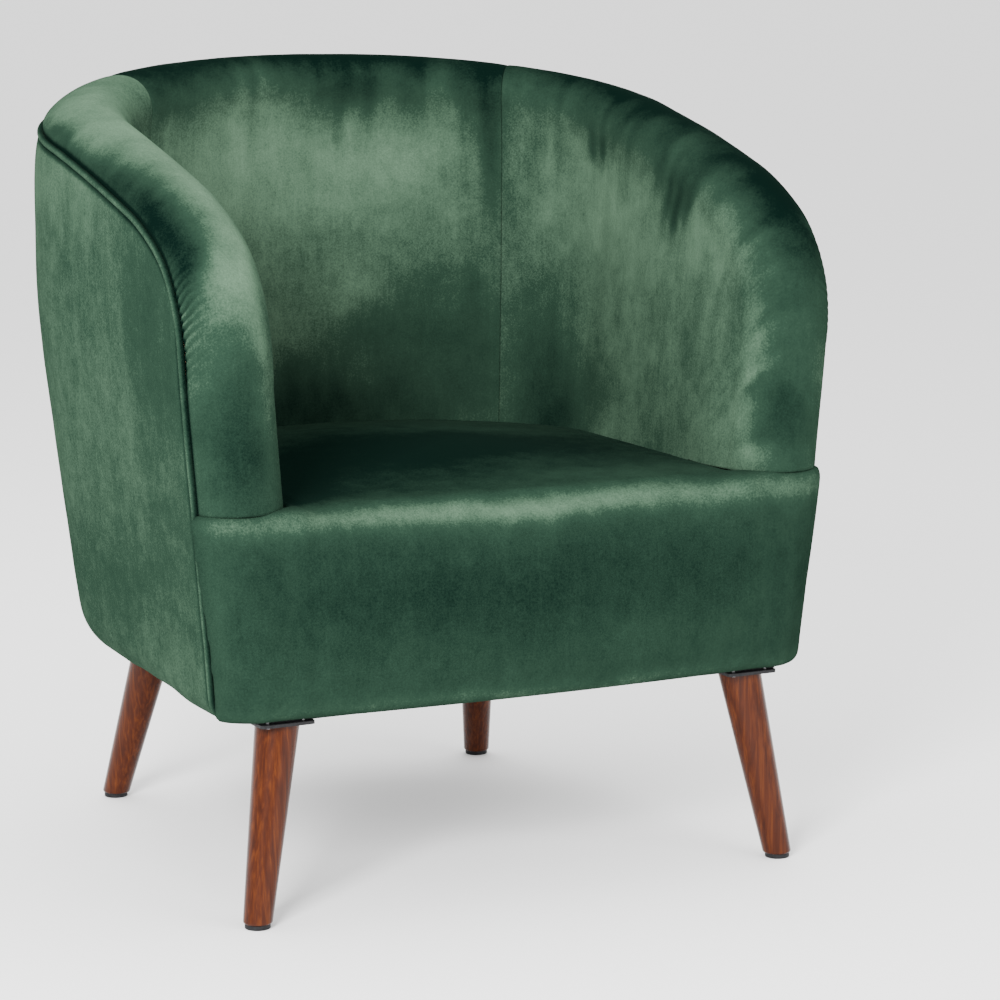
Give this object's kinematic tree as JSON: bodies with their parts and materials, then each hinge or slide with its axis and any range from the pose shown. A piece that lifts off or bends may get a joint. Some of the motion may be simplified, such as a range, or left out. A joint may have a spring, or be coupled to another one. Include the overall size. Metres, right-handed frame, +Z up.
{
  "type": "tub armchair",
  "caption": "Tub armchair with a velvet barrel shell, piped rolled arms, a tight sprung seat and splayed tapered timber legs",
  "frame": {"origin": "on the floor, under the middle of the chair's bounding box", "axes": "+Z up, +X to the right of someone facing the chair's front, -Y the way the chair faces"},
  "size_m": [0.7148, 0.6349, 0.7951],
  "materials": {
    "velvet": "dark green velvet pile",
    "foam": "upholstery foam with wadding",
    "board": "fibreboard",
    "felt": "needled felt",
    "frame_wood": "plain sawn timber and plywood",
    "spring_steel": "drawn steel wire and zinc plate",
    "dust_cloth": "black spun cloth",
    "black_metal": "black satin paint",
    "leg_wood": "dark walnut stain under gloss lacquer",
    "glide_plastic": "black moulded"
  },
  "bodies": {
    "root": {"outer_cover": "velvet", "piping": "velvet", "inner_back_cover": "velvet", "inner_arm_cover_left": "velvet", "inner_arm_cover_right": "velvet", "seat_cover": "velvet", "back_pad": "foam", "arm_pad_left": "foam", "arm_pad_right": "foam", "seat_foam": "foam", "outer_board": "board", "tack_strip": "board", "seat_felt": "felt", "top_rail": "frame_wood", "arm_post_left": "frame_wood", "arm_post_right": "frame_wood", "back_post_left": "frame_wood", "back_post_right": "frame_wood", "stay_rail": "frame_wood", "seat_back_rail": "frame_wood", "seat_side_rail_left": "frame_wood", "seat_side_rail_right": "frame_wood", "seat_front_rail": "frame_wood", "base_ring": "frame_wood", "corner_block_front_left": "frame_wood", "corner_block_front_right": "frame_wood", "corner_block_rear_left": "frame_wood", "corner_block_rear_right": "frame_wood", "seat_springs": "spring_steel", "spring_clips": "spring_steel", "dust_cover_staples": "spring_steel", "plate_screws": "spring_steel", "glide_nails": "spring_steel", "hanger_bolt_front_left": "spring_steel", "hanger_bolt_front_right": "spring_steel", "hanger_bolt_rear_left": "spring_steel", "hanger_bolt_rear_right": "spring_steel", "dust_cover": "dust_cloth", "leg_plate_front_left": "black_metal", "leg_plate_front_right": "black_metal", "leg_plate_rear_left": "black_metal", "leg_plate_rear_right": "black_metal", "leg_front_left": "leg_wood", "leg_front_right": "leg_wood", "leg_rear_left": "leg_wood", "leg_rear_right": "leg_wood", "glide_front_left": "glide_plastic", "glide_front_right": "glide_plastic", "glide_rear_left": "glide_plastic", "glide_rear_right": "glide_plastic"}
  },
  "joints": []
}
